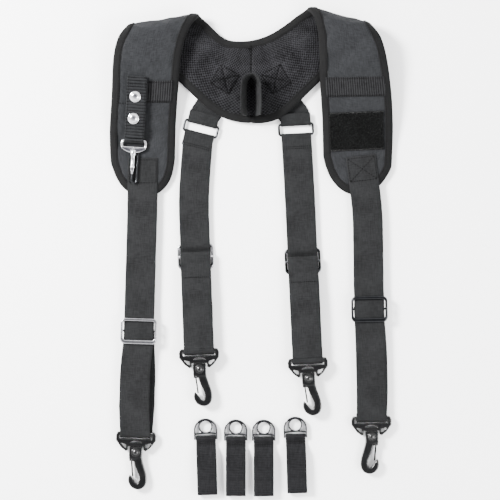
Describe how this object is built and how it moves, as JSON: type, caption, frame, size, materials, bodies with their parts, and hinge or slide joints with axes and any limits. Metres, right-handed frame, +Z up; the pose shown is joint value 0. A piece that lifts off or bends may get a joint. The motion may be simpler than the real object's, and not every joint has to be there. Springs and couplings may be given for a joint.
{
  "type": "padded tool belt suspenders with belt loops",
  "caption": "Padded shoulder yoke for carrying a tool belt, with adjustable webbing straps, swivel snap hooks, a key strap and separate belt loops.",
  "frame": {"origin": "on the surface the harness lies on, under the middle of its bounding box", "axes": "+X across the harness, +Y along the straps towards the neck fold, +Z up from the surface"},
  "size_m": [0.3559, 0.6182, 0.0336],
  "materials": {
    "webbing": "woven polypropylene webbing, matt",
    "loop_webbing": "woven webbing, matt",
    "key_webbing": "heavy ribbed webbing",
    "pad_nylon": "coarse woven nylon",
    "binding_tape": "grosgrain binding tape",
    "spacer_mesh": "perforated spacer mesh",
    "foam": "open-cell foam padding",
    "elastic": "ribbed elastic",
    "loop_pile": "fuzzy loop pile",
    "black_plastic": "moulded acetal, semi-gloss",
    "nickel": "nickel plated, bright",
    "gunmetal": "black nickel plated, glossy",
    "belt_ring_gunmetal": "black nickel plated, glossy",
    "chrome": "polished"
  },
  "bodies": {
    "harness": {"hang_loop": "webbing", "key_strap_back": "key_webbing", "left_back_connector": "webbing", "left_pad_binding": "binding_tape", "left_pad_face": "pad_nylon", "left_pad_foam": "foam", "left_pad_lining": "spacer_mesh", "left_utility_band": "elastic", "loop_patch": "loop_pile", "right_back_connector": "webbing", "right_pad_binding": "binding_tape", "right_pad_face": "pad_nylon", "right_pad_foam": "foam", "right_pad_lining": "spacer_mesh", "right_utility_band": "elastic", "snap_studs": "chrome", "left_front_upper_webbing": "webbing", "right_front_upper_webbing": "webbing"},
    "left_ring": {"left_back_ring": "gunmetal"},
    "left_back_upper": {"left_back_upper_webbing": "webbing"},
    "right_ring": {"right_back_ring": "gunmetal"},
    "right_back_upper": {"right_back_upper_webbing": "webbing"},
    "left_front_loop": {"left_front_loop_webbing": "webbing"},
    "left_front_adjuster": {"left_front_slider": "nickel", "left_front_tail_webbing": "webbing"},
    "left_front_swivel_base": {"left_front_hook_frame": "black_plastic"},
    "left_front_hook": {"left_front_snap_hook": "black_plastic"},
    "left_front_gate": {"left_front_gate": "black_plastic"},
    "right_front_loop": {"right_front_loop_webbing": "webbing"},
    "right_front_adjuster": {"right_front_slider": "gunmetal", "right_front_tail_webbing": "webbing"},
    "right_front_swivel_base": {"right_front_hook_frame": "black_plastic"},
    "right_front_hook": {"right_front_snap_hook": "black_plastic"},
    "right_front_gate": {"right_front_gate": "black_plastic"},
    "left_back_loop": {"left_back_loop_webbing": "webbing"},
    "left_back_adjuster": {"left_back_slider": "nickel", "left_back_tail_webbing": "webbing"},
    "left_back_swivel_base": {"left_back_hook_frame": "black_plastic"},
    "left_back_hook": {"left_back_snap_hook": "black_plastic"},
    "left_back_gate": {"left_back_gate": "black_plastic"},
    "right_back_loop": {"right_back_loop_webbing": "webbing"},
    "right_back_adjuster": {"right_back_slider": "gunmetal", "right_back_tail_webbing": "webbing"},
    "right_back_swivel_base": {"right_back_hook_frame": "black_plastic"},
    "right_back_hook": {"right_back_snap_hook": "black_plastic"},
    "right_back_gate": {"right_back_gate": "black_plastic"},
    "key_flap": {"key_strap_flap": "key_webbing", "snap_caps": "chrome"},
    "key_eye": {"key_snap_frame": "chrome"},
    "key_hook": {"key_snap_hook": "chrome"},
    "key_bolt": {"key_snap_bolt": "chrome"},
    "belt_loop_1_body": {"belt_loop_1": "loop_webbing"},
    "belt_loop_1_ring": {"belt_loop_ring_1": "belt_ring_gunmetal"},
    "belt_loop_2_body": {"belt_loop_2": "loop_webbing"},
    "belt_loop_2_ring": {"belt_loop_ring_2": "belt_ring_gunmetal"},
    "belt_loop_3_body": {"belt_loop_3": "loop_webbing"},
    "belt_loop_3_ring": {"belt_loop_ring_3": "belt_ring_gunmetal"},
    "belt_loop_4_body": {"belt_loop_4": "loop_webbing"},
    "belt_loop_4_ring": {"belt_loop_ring_4": "belt_ring_gunmetal"}
  },
  "joints": [
    {"name": "left_ring_hinge", "type": "hinge", "parent": "harness", "child": "left_ring", "pos_m": [-0.06181, 0.16379, 0.0029], "axis": [-0.9703, 0.2419, 0], "range_deg": [0, 60]},
    {"name": "left_back_strap_hinge", "type": "hinge", "parent": "left_ring", "child": "left_back_upper", "pos_m": [-0.06519, 0.15021, 0.0029], "axis": [-0.9703, 0.2419, 0], "range_deg": [-30, 60]},
    {"name": "right_ring_hinge", "type": "hinge", "parent": "harness", "child": "right_ring", "pos_m": [0.05663, 0.16299, 0.0029], "axis": [-0.9986, -0.0523, 0], "range_deg": [0, 60]},
    {"name": "right_back_strap_hinge", "type": "hinge", "parent": "right_ring", "child": "right_back_upper", "pos_m": [0.05737, 0.14901, 0.0029], "axis": [-0.9986, -0.0523, 0], "range_deg": [-30, 60]},
    {"name": "left_front_length", "type": "slide", "parent": "harness", "child": "left_front_loop", "axis": [0.0279, 0.9996, 0], "range_m": [0, 0.05]},
    {"name": "left_front_slider_travel", "type": "slide", "parent": "left_front_loop", "child": "left_front_adjuster", "axis": [0.0279, 0.9996, 0], "range_m": [0, 0.05]},
    {"name": "left_front_hook_hinge", "type": "hinge", "parent": "left_front_loop", "child": "left_front_swivel_base", "pos_m": [-0.1455, -0.2306, 0.0048], "axis": [0.9996, -0.0279, 0], "range_deg": [-75, 75]},
    {"name": "left_front_hook_swivel", "type": "hinge", "parent": "left_front_swivel_base", "child": "left_front_hook", "pos_m": [-0.14592, -0.24559, 0.0048], "axis": [0.0279, 0.9996, 0], "continuous": true},
    {"name": "left_front_gate_hinge", "type": "hinge", "parent": "left_front_hook", "child": "left_front_gate", "pos_m": [-0.15157, -0.26184, 0.0048], "axis": [0, 0, 1], "range_deg": [0, 14], "stiffness_Nm_per_rad": 0.02, "springref_deg": -8.59},
    {"name": "right_front_length", "type": "slide", "parent": "harness", "child": "right_front_loop", "axis": [-0.0209, 0.9998, 0], "range_m": [0, 0.05]},
    {"name": "right_front_slider_travel", "type": "slide", "parent": "right_front_loop", "child": "right_front_adjuster", "axis": [-0.0209, 0.9998, 0], "range_m": [0, 0.05]},
    {"name": "right_front_hook_hinge", "type": "hinge", "parent": "right_front_loop", "child": "right_front_swivel_base", "pos_m": [0.1524, -0.2108, 0.0048], "axis": [0.9998, 0.0209, 0], "range_deg": [-75, 75]},
    {"name": "right_front_hook_swivel", "type": "hinge", "parent": "right_front_swivel_base", "child": "right_front_hook", "pos_m": [0.15271, -0.2258, 0.0048], "axis": [-0.0209, 0.9998, 0], "continuous": true},
    {"name": "right_front_gate_hinge", "type": "hinge", "parent": "right_front_hook", "child": "right_front_gate", "pos_m": [0.15826, -0.24208, 0.0048], "axis": [0, 0, -1], "range_deg": [0, 14], "stiffness_Nm_per_rad": 0.02, "springref_deg": -8.59},
    {"name": "left_back_length", "type": "slide", "parent": "left_back_upper", "child": "left_back_loop", "axis": [-0.0366, 0.9993, 0], "range_m": [0, 0.04]},
    {"name": "left_back_slider_travel", "type": "slide", "parent": "left_back_loop", "child": "left_back_adjuster", "axis": [-0.0366, 0.9993, 0], "range_m": [0, 0.04]},
    {"name": "left_back_hook_hinge", "type": "hinge", "parent": "left_back_loop", "child": "left_back_swivel_base", "pos_m": [-0.0659, -0.125, 0.008], "axis": [0.9993, 0.0366, 0], "range_deg": [-75, 75]},
    {"name": "left_back_hook_swivel", "type": "hinge", "parent": "left_back_swivel_base", "child": "left_back_hook", "pos_m": [-0.06535, -0.13999, 0.008], "axis": [-0.0366, 0.9993, 0], "continuous": true},
    {"name": "left_back_gate_hinge", "type": "hinge", "parent": "left_back_hook", "child": "left_back_gate", "pos_m": [-0.06995, -0.15657, 0.008], "axis": [0, 0, 1], "range_deg": [0, 14], "stiffness_Nm_per_rad": 0.02, "springref_deg": -8.59},
    {"name": "right_back_length", "type": "slide", "parent": "right_back_upper", "child": "right_back_loop", "axis": [-0.0471, 0.9989, 0], "range_m": [0, 0.05]},
    {"name": "right_back_slider_travel", "type": "slide", "parent": "right_back_loop", "child": "right_back_adjuster", "axis": [-0.0471, 0.9989, 0], "range_m": [0, 0.05]},
    {"name": "right_back_hook_hinge", "type": "hinge", "parent": "right_back_loop", "child": "right_back_swivel_base", "pos_m": [0.0716, -0.1368, 0.008], "axis": [0.9989, 0.0471, 0], "range_deg": [-75, 75]},
    {"name": "right_back_hook_swivel", "type": "hinge", "parent": "right_back_swivel_base", "child": "right_back_hook", "pos_m": [0.07231, -0.15178, 0.008], "axis": [-0.0471, 0.9989, 0], "continuous": true},
    {"name": "right_back_gate_hinge", "type": "hinge", "parent": "right_back_hook", "child": "right_back_gate", "pos_m": [0.06789, -0.16841, 0.008], "axis": [0, 0, 1], "range_deg": [0, 14], "stiffness_Nm_per_rad": 0.02, "springref_deg": -8.59},
    {"name": "key_flap_hinge", "type": "hinge", "parent": "harness", "child": "key_flap", "pos_m": [-0.1477, 0.141, 0.01105], "axis": [0.9981, -0.061, 0], "range_deg": [0, 110]},
    {"name": "key_snap_hinge", "type": "hinge", "parent": "harness", "child": "key_eye", "pos_m": [-0.1477, 0.141, 0.01105], "axis": [-0.9981, 0.061, 0], "range_deg": [0, 80]},
    {"name": "key_snap_swivel", "type": "hinge", "parent": "key_eye", "child": "key_hook", "pos_m": [-0.14843, 0.12902, 0.01105], "axis": [-0.061, -0.9981, 0], "range_deg": [0, 90]},
    {"name": "key_snap_bolt_slide", "type": "slide", "parent": "key_hook", "child": "key_bolt", "axis": [0.061, 0.9981, 0], "range_m": [0, 0.0045], "stiffness_N_per_m": 300, "springref_m": -0.004},
    {"name": "belt_loop_1_lift_off", "type": "slide", "parent": "harness", "child": "belt_loop_1_body", "axis": [0, 0, 1], "range_m": [0, 0.1]},
    {"name": "belt_loop_1_ring_hinge", "type": "hinge", "parent": "belt_loop_1_body", "child": "belt_loop_1_ring", "pos_m": [-0.05733, -0.23519, 0.0028], "axis": [0.9995, 0.0314, 0], "range_deg": [0, 90]},
    {"name": "belt_loop_2_lift_off", "type": "slide", "parent": "harness", "child": "belt_loop_2_body", "axis": [0, 0, 1], "range_m": [0, 0.1]},
    {"name": "belt_loop_2_ring_hinge", "type": "hinge", "parent": "belt_loop_2_body", "child": "belt_loop_2_ring", "pos_m": [-0.0193, -0.2365, 0.0028], "axis": [1, 0, 0], "range_deg": [0, 90]},
    {"name": "belt_loop_3_lift_off", "type": "slide", "parent": "harness", "child": "belt_loop_3_body", "axis": [0, 0, 1], "range_m": [0, 0.1]},
    {"name": "belt_loop_3_ring_hinge", "type": "hinge", "parent": "belt_loop_3_body", "child": "belt_loop_3_ring", "pos_m": [0.0161, -0.2367, 0.0028], "axis": [1, 0, 0], "range_deg": [0, 90]},
    {"name": "belt_loop_4_lift_off", "type": "slide", "parent": "harness", "child": "belt_loop_4_body", "axis": [0, 0, 1], "range_m": [0, 0.1]},
    {"name": "belt_loop_4_ring_hinge", "type": "hinge", "parent": "belt_loop_4_body", "child": "belt_loop_4_ring", "pos_m": [0.05647, -0.23289, 0.0028], "axis": [0.9995, 0.0314, 0], "range_deg": [0, 90]}
  ],
  "couplings": [
    {"joint": "left_front_slider_travel", "follows": "left_front_length", "ratio": 1},
    {"joint": "right_front_slider_travel", "follows": "right_front_length", "ratio": 1},
    {"joint": "left_back_slider_travel", "follows": "left_back_length", "ratio": 1},
    {"joint": "right_back_slider_travel", "follows": "right_back_length", "ratio": 1}
  ]
}
